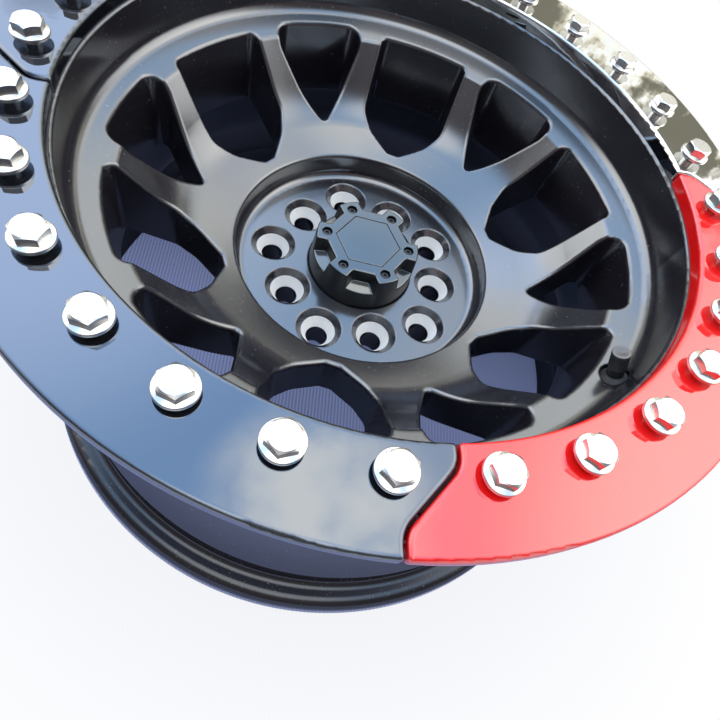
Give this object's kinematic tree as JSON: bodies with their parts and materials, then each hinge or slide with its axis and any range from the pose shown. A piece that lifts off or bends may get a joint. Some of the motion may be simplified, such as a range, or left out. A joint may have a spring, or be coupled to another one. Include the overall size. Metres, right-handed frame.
{
  "type": "beadlock wheel",
  "caption": "Deep-dish off-road beadlock wheel with a six-armed cast disc, a bolted segmented clamp ring, dual-drilled hub, push-through centre cap and tyre valve.",
  "frame": {"origin": "on the wheel's axis, level with the rear lip that it rests on", "axes": "+Z along the wheel's axis out of its face; +X across it, through the middle of a slim window"},
  "size_m": [0.442, 0.442, 0.242],
  "materials": {
    "casting_paint": "cast aluminium, satin black paint",
    "ring_black": "gloss black paint",
    "ring_red": "gloss red paint",
    "ring_chrome": "bright chrome plate",
    "ring_plain": "gloss black paint",
    "bolt_zinc": "bright zinc plate",
    "sleeve_steel": "plain steel",
    "cap_plastic": "satin black plastic",
    "cap_plate_plastic": "satin black plastic",
    "screw_steel": "black oxide",
    "seal_rubber": "black rubber",
    "valve_rubber": "black rubber",
    "valve_brass": "plain brass",
    "valve_cap_plastic": "satin black plastic"
  },
  "bodies": {
    "wheel": {"wheel_casting": "casting_paint", "ring_segment_black": "ring_black", "ring_segment_red": "ring_red", "ring_segment_chrome": "ring_chrome", "ring_segment_plain": "ring_plain", "thread_inserts": "sleeve_steel", "cap_body": "cap_plastic", "cap_plate": "cap_plate_plastic", "cap_screws": "screw_steel", "cap_o_ring": "seal_rubber", "valve_stem": "valve_rubber", "valve_barrel": "valve_brass", "valve_core": "valve_brass", "ring_bolts_black": "bolt_zinc", "ring_bolts_red": "bolt_zinc", "ring_bolts_chrome": "bolt_zinc", "ring_bolts_plain": "bolt_zinc"},
    "valve_cap": {"valve_cap": "valve_cap_plastic", "valve_cap_seal": "seal_rubber"},
    "valve_pin": {"valve_core_pin": "valve_brass", "valve_core_seal": "seal_rubber"}
  },
  "joints": [
    {"name": "valve_cap_off", "type": "slide", "parent": "wheel", "child": "valve_cap", "axis": [-0.3696, 0.2049, 0.9063], "range_m": [0, 0.011]},
    {"name": "valve_pin_press", "type": "slide", "parent": "wheel", "child": "valve_pin", "axis": [0.3696, -0.2049, -0.9063], "range_m": [0, 0.0012], "stiffness_N_per_m": 900}
  ]
}
